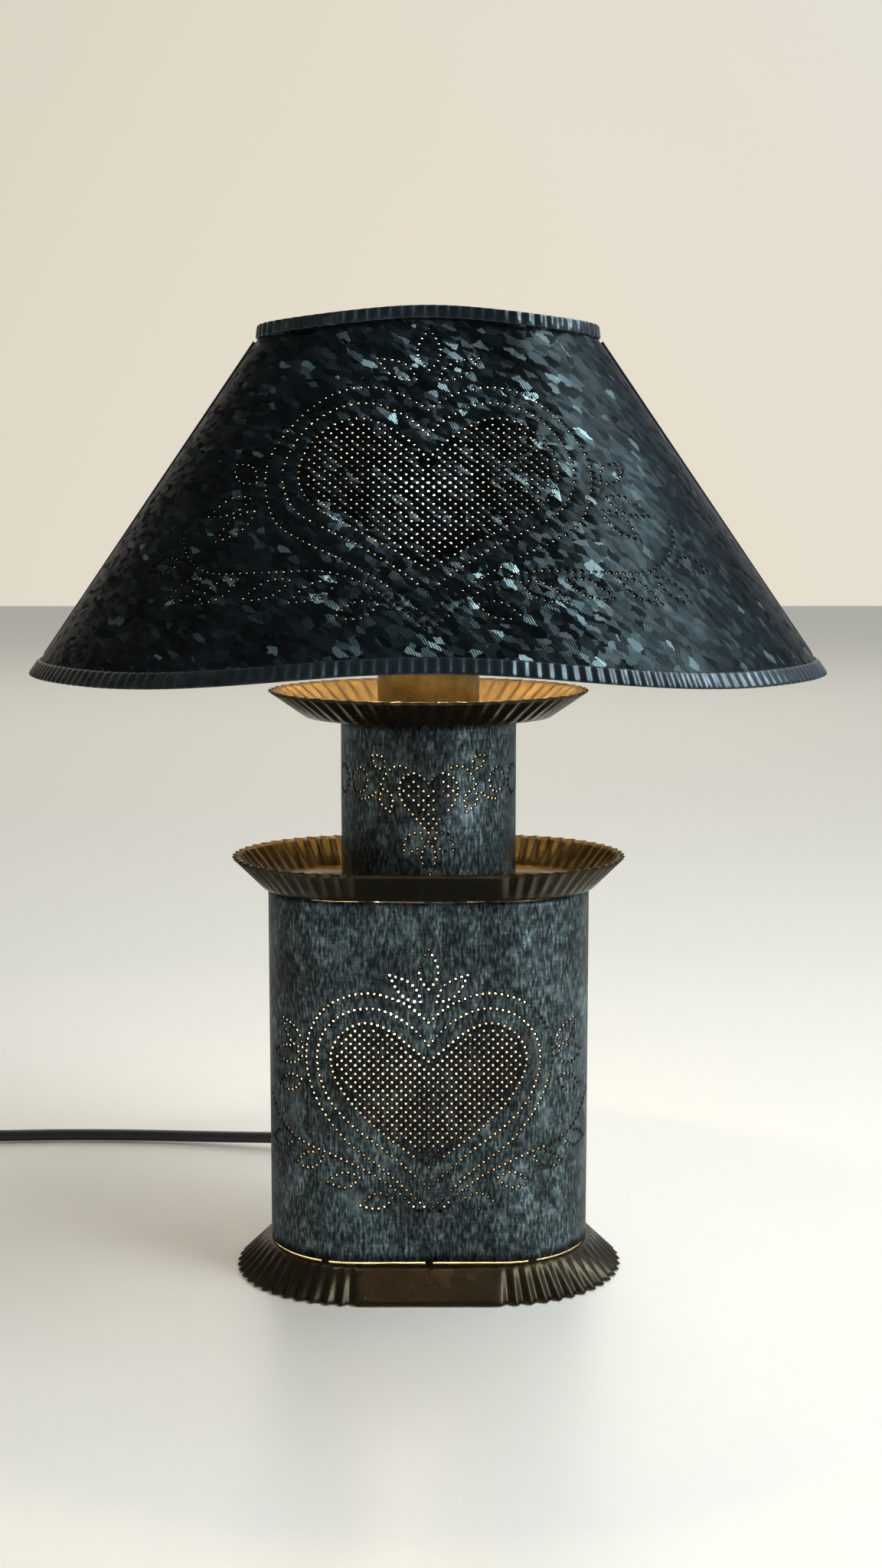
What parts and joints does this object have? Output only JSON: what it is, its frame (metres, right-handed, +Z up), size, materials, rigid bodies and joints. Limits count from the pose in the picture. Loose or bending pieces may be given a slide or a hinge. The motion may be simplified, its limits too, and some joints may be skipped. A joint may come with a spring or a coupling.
{
  "type": "punched tin table lamp",
  "caption": "Table lamp of dark sheet metal: an oval can with a punched heart, crimped drip pans, a round riser and a wide oval punched shade with crimped edges; the shade swivels.",
  "frame": {"origin": "on the table under the middle of the base, the cord not counted", "axes": "+Z up, +X to the right and -Y towards the viewer who faces the front heart"},
  "size_m": [0.598, 0.3735, 0.4913],
  "materials": {
    "shade_tin": "dark galvanised sheet with a coarse spangle",
    "trim_tin": "dark crimped sheet",
    "can_tin": "dark sheet with fine upright streaks and scratches",
    "pan_tin": "bronze-black crimped sheet",
    "black_bakelite": "satin black",
    "brass": "plain",
    "bulb_glass": "warm frosted",
    "cap_metal": "plain",
    "filament": "lit",
    "ivory_plastic": "plain",
    "cord_rubber": "satin black",
    "plug_plastic": "satin black",
    "pin_metal": "nickel"
  },
  "bodies": {
    "lamp": {"base_pan": "pan_tin", "body_can": "can_tin", "oval_pan": "pan_tin", "riser_tube": "can_tin", "round_pan": "pan_tin", "candle_sleeve": "pan_tin", "upper_socket": "black_bakelite", "upper_contact": "brass", "upper_nipple": "brass", "upper_nipple_nuts": "brass", "lower_socket": "black_bakelite", "lower_contact": "brass", "lower_nipple": "brass", "lower_nipple_nuts": "brass", "terminal_block": "ivory_plastic", "upper_lead": "cord_rubber", "lower_lead": "cord_rubber", "cable_bush": "black_bakelite", "inner_cord": "cord_rubber", "cord_boot": "black_bakelite", "boot_nut": "black_bakelite", "mains_cord": "cord_rubber", "cord_coil": "cord_rubber", "cord_tie": "cord_rubber", "plug_body": "plug_plastic", "plug_pins": "pin_metal"},
    "shade": {"shade_front_sheet": "shade_tin", "shade_back_sheet": "shade_tin", "shade_side_seams": "shade_tin", "shade_top_trim": "trim_tin", "shade_bottom_trim": "trim_tin", "shade_carrier": "pan_tin", "shade_arms": "pan_tin"},
    "clamp_ring": {"shade_ring": "black_bakelite"},
    "knob": {"switch_knob": "black_bakelite"},
    "upper_bulb": {"upper_bulb_glass": "bulb_glass", "upper_bulb_cap": "cap_metal", "upper_filament": "filament"},
    "lower_bulb": {"lower_bulb_glass": "bulb_glass", "lower_bulb_cap": "cap_metal", "lower_filament": "filament"}
  },
  "joints": [
    {"name": "shade_swivel", "type": "hinge", "parent": "lamp", "child": "shade", "pos_m": [0, 0, 0.348], "axis": [0, 0, 1], "continuous": true},
    {"name": "shade_ring_turn", "type": "hinge", "parent": "lamp", "child": "clamp_ring", "pos_m": [0, 0, 0.353], "axis": [0, 0, 1], "continuous": true},
    {"name": "switch_turn", "type": "hinge", "parent": "lamp", "child": "knob", "pos_m": [0.03, 0, 0.3181], "axis": [1, 0, 0], "continuous": true},
    {"name": "upper_bulb_out", "type": "slide", "parent": "lamp", "child": "upper_bulb", "axis": [0, 0, 1], "range_m": [0, 0.03]},
    {"name": "lower_bulb_out", "type": "slide", "parent": "lamp", "child": "lower_bulb", "axis": [0, 0, -1], "range_m": [0, 0.024]}
  ]
}
